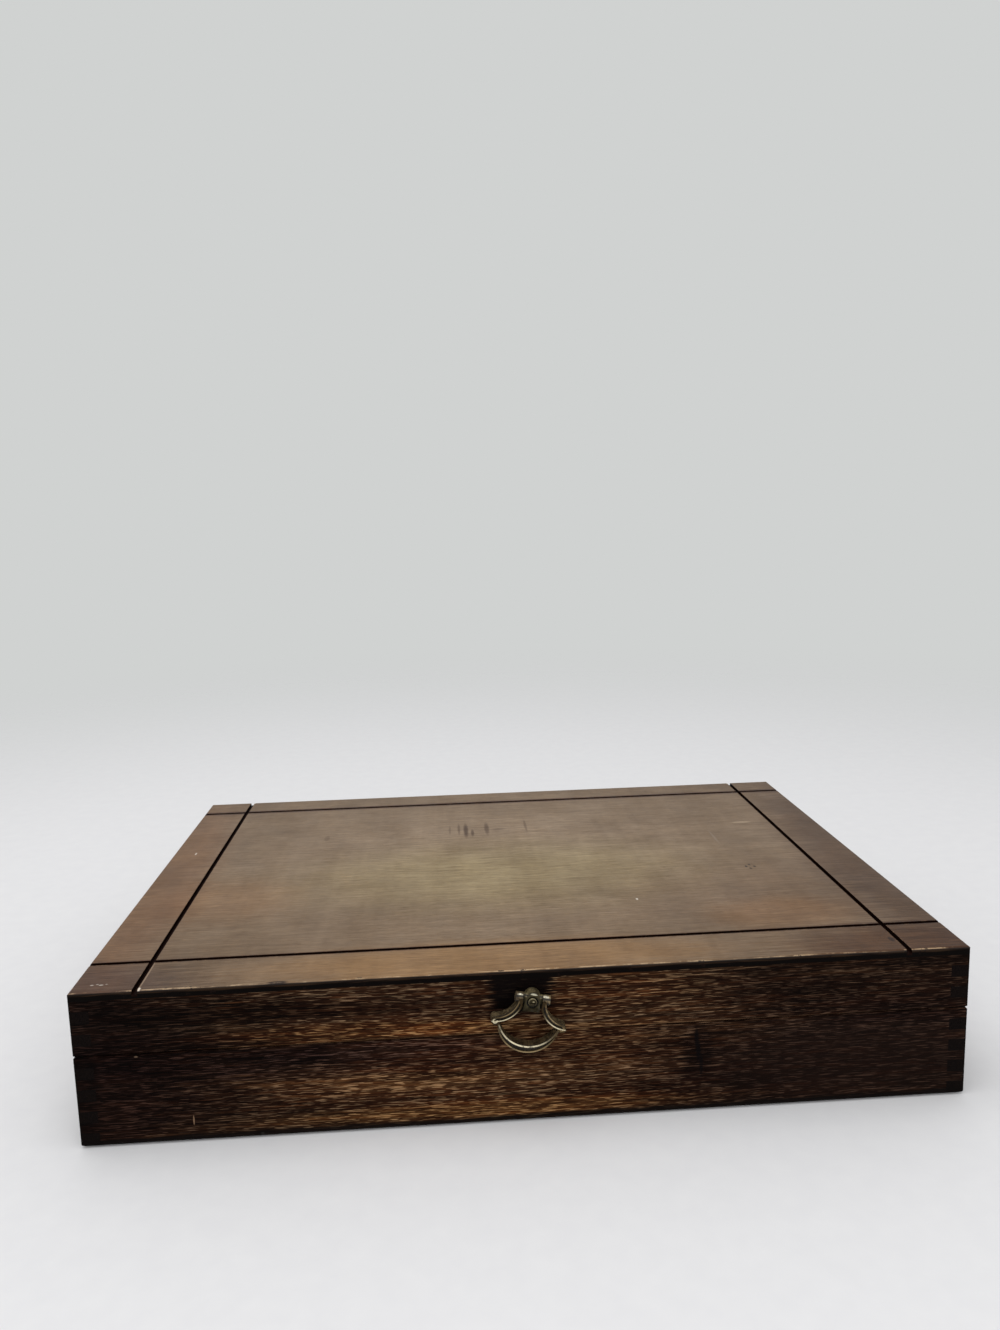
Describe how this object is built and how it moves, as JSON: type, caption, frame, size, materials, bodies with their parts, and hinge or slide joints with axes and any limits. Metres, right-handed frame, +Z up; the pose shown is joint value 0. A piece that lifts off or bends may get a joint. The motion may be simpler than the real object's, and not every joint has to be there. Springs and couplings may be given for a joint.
{
  "type": "silverware chest",
  "caption": "Shallow wooden chest for table silver: finger-jointed base, hinged lid with a grooved top, felt-covered racks inside and a small bail pull on the lid's front.",
  "frame": {"origin": "middle of the underside, on the surface that the chest stands on", "axes": "+X to the right along the front, +Y to the hinged back, +Z up through the lid"},
  "size_m": [0.4, 0.2934, 0.0724],
  "materials": {
    "walnut_front": "dark walnut stain, worn satin",
    "walnut_side": "dark walnut stain, end grain nearly black",
    "walnut_top": "brown stained veneer panel, satin",
    "bottom_plywood": "stained plywood, dull",
    "lining_felt": "wine-red felt on card",
    "rack_felt": "wine-red felt over wood",
    "hinge_brass": "aged brass plate",
    "old_brass": "antiqued cast brass with dark recesses"
  },
  "bodies": {
    "chest": {"base_front": "walnut_front", "base_back": "walnut_front", "base_left": "walnut_side", "base_right": "walnut_side", "base_bottom": "bottom_plywood", "base_floor_lining": "lining_felt", "base_wall_lining": "lining_felt", "front_rack": "rack_felt", "back_rack": "rack_felt", "left_base_leaf": "hinge_brass", "right_base_leaf": "hinge_brass", "left_hinge_pin": "hinge_brass", "right_hinge_pin": "hinge_brass", "base_leaf_screws": "hinge_brass"},
    "lid": {"lid_front": "walnut_front", "lid_back": "walnut_front", "lid_left": "walnut_side", "lid_right": "walnut_side", "lid_top": "walnut_top", "lid_ceiling_lining": "lining_felt", "lid_wall_lining": "lining_felt", "blade_rack": "rack_felt", "handle_rest": "rack_felt", "left_lid_leaf": "hinge_brass", "right_lid_leaf": "hinge_brass", "lid_leaf_screws": "hinge_brass", "pull_bracket": "old_brass", "pull_screw": "old_brass"},
    "bail": {"pull_bail": "old_brass"}
  },
  "joints": [
    {"name": "lid_hinge", "type": "hinge", "parent": "chest", "child": "lid", "pos_m": [0, 0.1428, 0.0429], "axis": [-1, 0, 0], "range_deg": [0, 95]},
    {"name": "bail_swing", "type": "hinge", "parent": "lid", "child": "bail", "pos_m": [0.00019, -0.1434, 0.06078], "axis": [-0.9816, 0, 0.1908], "range_deg": [0, 178]}
  ]
}
